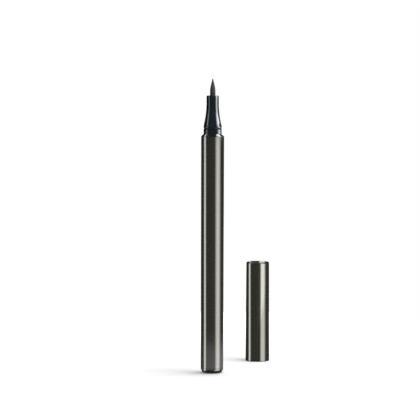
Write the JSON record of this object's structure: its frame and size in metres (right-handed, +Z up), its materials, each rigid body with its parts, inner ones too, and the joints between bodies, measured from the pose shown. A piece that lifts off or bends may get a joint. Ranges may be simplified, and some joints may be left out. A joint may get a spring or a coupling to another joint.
{
  "type": "eyebrow pen",
  "caption": "Slim felt-tip eyebrow pen standing on its rounded foot, uncapped, with its lacquered cap standing beside it and a sprung inner cap inside.",
  "frame": {"origin": "middle of the pen's flat foot, on the surface that it stands on", "axes": "+Z up along the pen to the nib, +X to the cap's side as pictured, +Y away from the viewer"},
  "size_m": [0.0309, 0.0483, 0.1284],
  "materials": {
    "lacquer": "dark olive-brown gloss lacquer",
    "black_gloss": "moulded gloss black",
    "felt": "dark grey felt stained by ink",
    "fibre": "bundled fibre rod",
    "natural_plastic": "uncoloured moulded plastic",
    "black_plastic": "satin black moulded plastic",
    "soft_seal": "soft seal",
    "steel": "bright drawn steel"
  },
  "bodies": {
    "pen": {"barrel": "lacquer", "end_plug": "lacquer", "nozzle": "black_gloss", "nib": "felt", "nib_holder": "black_plastic", "feed_rod": "fibre", "collector": "natural_plastic"},
    "first_ball": {"mixing_ball_1": "steel"},
    "second_ball": {"mixing_ball_2": "steel"},
    "cap": {"cap_shell": "lacquer", "cap_liner": "black_plastic", "inner_cap_spring": "steel"},
    "nib_cover": {"inner_cap": "natural_plastic", "nib_seal": "soft_seal"}
  },
  "joints": [
    {"name": "cap_lift", "type": "slide", "parent": "pen", "child": "cap", "axis": [0, 0, 1], "range_m": [0, 0.13]},
    {"name": "inner_cap_travel", "type": "slide", "parent": "cap", "child": "nib_cover", "axis": [0, 0, 1], "range_m": [0, 0.002], "stiffness_N_per_m": 150, "springref_m": -0.004, "deforming": ["inner_cap_spring"]},
    {"name": "first_ball_travel", "type": "slide", "parent": "pen", "child": "first_ball", "axis": [0, 0, 1], "range_m": [0, 0.0542]},
    {"name": "second_ball_travel", "type": "slide", "parent": "pen", "child": "second_ball", "axis": [0, 0, 1], "range_m": [0, 0.0542]}
  ]
}
